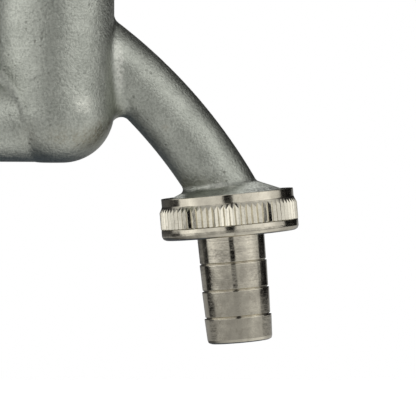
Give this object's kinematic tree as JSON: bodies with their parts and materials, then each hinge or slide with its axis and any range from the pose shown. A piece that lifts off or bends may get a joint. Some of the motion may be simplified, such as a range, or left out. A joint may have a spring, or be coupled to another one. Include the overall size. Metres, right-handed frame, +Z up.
{
  "type": "bib tap",
  "caption": "Wall tap with a threaded inlet, upright screw-down valve, curved spout and a knurled union that holds a barbed hose tail.",
  "frame": {"origin": "centre of the inlet thread where it meets the shoulder that stops against the wall fitting", "axes": "+X along the inlet axis, the way the water flows; +Z up along the chamber and spindle; the part is symmetric about the plane Y = 0"},
  "size_m": [0.106, 0.0322, 0.1212],
  "materials": {
    "satin_nickel": "cast brass, sand-blasted and satin nickel plated",
    "polished_nickel": "turned brass, bright nickel plated",
    "brass": "turned, unplated",
    "rubber": "moulded, matt black",
    "fibre": "pressed red fibre sheet",
    "ptfe": "white packing",
    "stainless": "bright stainless steel",
    "blue_plastic": "moulded, glossy blue, no lettering"
  },
  "bodies": {
    "tap": {"tap_body": "satin_nickel", "bonnet": "satin_nickel", "bonnet_washer": "fibre", "packing_rings": "ptfe", "gland_washer": "brass", "gland_nut": "satin_nickel"},
    "valve": {"jumper": "brass", "tap_washer": "rubber", "jumper_plate": "brass", "jumper_nut": "brass"},
    "spindle": {"spindle": "brass", "back_seat_ring": "brass", "handle": "satin_nickel", "handle_screw": "stainless", "handle_spring_washer": "stainless", "handle_cap": "blue_plastic"},
    "hose_union": {"hose_tail": "polished_nickel", "hose_washer": "rubber", "hose_strainer": "stainless"},
    "union_nut": {"union_nut": "polished_nickel"}
  },
  "joints": [
    {"name": "valve_lift", "type": "slide", "parent": "tap", "child": "valve", "axis": [0, 0, 1], "range_m": [0, 0.005]},
    {"name": "spindle_turn", "type": "hinge", "parent": "valve", "child": "spindle", "pos_m": [0.034, 0, 0.0171], "axis": [0, 0, 1], "range_deg": [0, 900]},
    {"name": "union_drop", "type": "slide", "parent": "tap", "child": "hose_union", "axis": [0.0941, 0, -0.9956], "range_m": [0, 0.00454]},
    {"name": "nut_turn", "type": "hinge", "parent": "hose_union", "child": "union_nut", "pos_m": [0.07613, 0, -0.01699], "axis": [0.0941, 0, -0.9956], "range_deg": [0, 900]}
  ],
  "couplings": [
    {"joint": "valve_lift", "follows": "spindle_turn", "m_per_rad": 0.00031831},
    {"joint": "union_drop", "follows": "nut_turn", "m_per_rad": 0.00028871}
  ]
}
